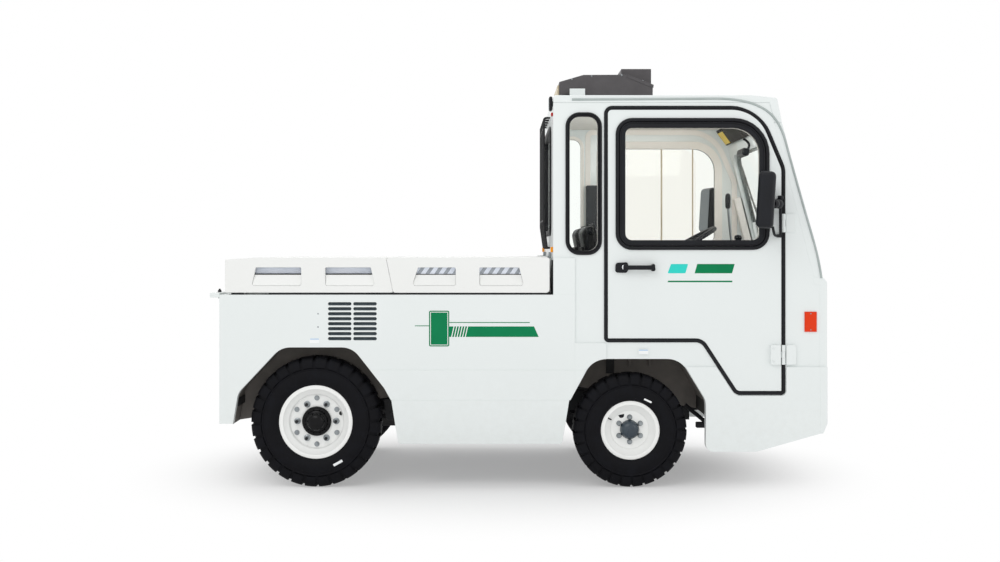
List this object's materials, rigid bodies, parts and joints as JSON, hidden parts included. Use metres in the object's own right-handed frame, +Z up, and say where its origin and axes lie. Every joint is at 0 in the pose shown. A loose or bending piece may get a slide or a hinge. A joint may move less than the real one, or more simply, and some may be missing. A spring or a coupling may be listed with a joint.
{
  "type": "airport baggage tug",
  "caption": "Battery-electric baggage towing tractor: closed cab ahead of a low covered battery body, steered front wheels, doors, lift-up battery cover and rear pin hitch.",
  "frame": {"origin": "on the ground under the middle of the overall length and width", "axes": "+X forward, +Y to the vehicle's left, +Z up"},
  "size_m": [3.18, 1.9598, 2.214],
  "materials": {
    "white_paint": "gloss cool off-white paint",
    "cover_paint": "gloss warm off-white paint",
    "rim_paint": "gloss white paint",
    "black_paint": "satin black paint",
    "roof_unit_paint": "matt dark grey paint",
    "axle_iron": "painted black casting",
    "battery_paint": "satin grey paint",
    "tyre_rubber": "matt black",
    "black_rubber": "satin black",
    "black_plastic": "satin black",
    "dash_plastic": "matt dark grey",
    "seat_vinyl": "matt black vinyl",
    "floor_rubber": "ribbed black mat on painted steel",
    "window_glass": "clear",
    "lamp_lens": "clear lens",
    "red_lens": "gloss red",
    "orange_lens": "gloss orange red",
    "zinc_steel": "zinc plated"
  },
  "bodies": {
    "tug": {"battery_pack": "battery_paint", "body_sides": "white_paint", "cab_floor": "floor_rubber", "cab_rear_wall": "white_paint", "cab_roof": "white_paint", "cab_sides": "white_paint", "cab_windows": "window_glass", "chassis_frame": "black_paint", "cover_buffers": "black_rubber", "cover_hinges": "zinc_steel", "dashboard": "dash_plastic", "drive_motor": "axle_iron", "front_axle": "axle_iron", "front_panel": "white_paint", "headlamps": "lamp_lens", "hinge_brackets": "white_paint", "leaf_springs": "black_paint", "load_deck": "white_paint", "pedals": "black_paint", "rear_axle": "axle_iron", "rear_cover": "cover_paint", "rear_lamps": "red_lens", "rear_ledge": "white_paint", "rear_panel": "white_paint", "roof_brackets": "white_paint", "roof_unit": "roof_unit_paint", "seat_frames": "black_paint", "seat_pads": "seat_vinyl", "side_reflectors": "orange_lens", "skirts": "white_paint", "steering_column": "black_paint", "tow_hitch": "black_paint", "window_guard": "black_paint", "windscreen_frame": "white_paint"},
    "steering_wheel": {"steering_wheel": "black_plastic"},
    "tie_rod": {"tie_rod": "black_paint"},
    "tow_pin": {"tow_pin": "zinc_steel"},
    "battery_cover": {"battery_cover": "cover_paint"},
    "knuckle_left": {"knuckle_left": "axle_iron"},
    "door_left": {"door_left": "white_paint", "door_glass_left": "window_glass", "door_handle_left": "black_plastic", "door_mirror_left": "black_plastic"},
    "wheel_front_left": {"tyre_front_left": "tyre_rubber", "rim_front_left": "rim_paint"},
    "wheel_rear_left": {"tyre_rear_left": "tyre_rubber", "rim_rear_left": "rim_paint"},
    "knuckle_right": {"knuckle_right": "axle_iron"},
    "door_right": {"door_right": "white_paint", "door_glass_right": "window_glass", "door_handle_right": "black_plastic", "door_mirror_right": "black_plastic"},
    "wheel_front_right": {"tyre_front_right": "tyre_rubber", "rim_front_right": "rim_paint"},
    "wheel_rear_right": {"tyre_rear_right": "tyre_rubber", "rim_rear_right": "rim_paint"}
  },
  "joints": [
    {"name": "steer_right", "type": "hinge", "parent": "tug", "child": "knuckle_right", "pos_m": [0.577, -0.5005, 0.295], "axis": [0, 0, 1], "range_deg": [-32, 32]},
    {"name": "steer_left", "type": "hinge", "parent": "tug", "child": "knuckle_left", "pos_m": [0.577, 0.5005, 0.295], "axis": [0, 0, 1], "range_deg": [-32, 32]},
    {"name": "tie_rod_swing", "type": "hinge", "parent": "knuckle_right", "child": "tie_rod", "pos_m": [0.447, -0.5005, 0.236], "axis": [0, 0, 1], "range_deg": [-32, 32]},
    {"name": "steering_wheel_turn", "type": "hinge", "parent": "tug", "child": "steering_wheel", "pos_m": [1.019, 0.33, 1.268], "axis": [-0.4848, 0, 0.8746], "range_deg": [-384, 384]},
    {"name": "wheel_spin_front_left", "type": "hinge", "parent": "knuckle_left", "child": "wheel_front_left", "pos_m": [0.577, 0.6325, 0.295], "axis": [0, 1, 0], "continuous": true},
    {"name": "wheel_spin_rear_left", "type": "hinge", "parent": "tug", "child": "wheel_rear_left", "pos_m": [-1.05, 0.625, 0.338], "axis": [0, 1, 0], "continuous": true},
    {"name": "door_swing_left", "type": "hinge", "parent": "tug", "child": "door_left", "pos_m": [1.361, 0.741, 1], "axis": [0, 0, -1], "range_deg": [0, 75]},
    {"name": "wheel_spin_front_right", "type": "hinge", "parent": "knuckle_right", "child": "wheel_front_right", "pos_m": [0.577, -0.6325, 0.295], "axis": [0, 1, 0], "continuous": true},
    {"name": "wheel_spin_rear_right", "type": "hinge", "parent": "tug", "child": "wheel_rear_right", "pos_m": [-1.05, -0.625, 0.338], "axis": [0, 1, 0], "continuous": true},
    {"name": "door_swing_right", "type": "hinge", "parent": "tug", "child": "door_right", "pos_m": [1.361, -0.741, 1], "axis": [0, 0, 1], "range_deg": [0, 75]},
    {"name": "battery_cover_lift", "type": "hinge", "parent": "tug", "child": "battery_cover", "pos_m": [0.164, 0, 1.191], "axis": [0, 1, 0], "range_deg": [0, 50]},
    {"name": "tow_pin_lift", "type": "slide", "parent": "tug", "child": "tow_pin", "axis": [0, 0, 1], "range_m": [0, 0.09]}
  ],
  "couplings": [
    {"joint": "steer_left", "follows": "steer_right", "ratio": 1},
    {"joint": "tie_rod_swing", "follows": "steer_right", "ratio": -1},
    {"joint": "steering_wheel_turn", "follows": "steer_right", "ratio": 12}
  ]
}
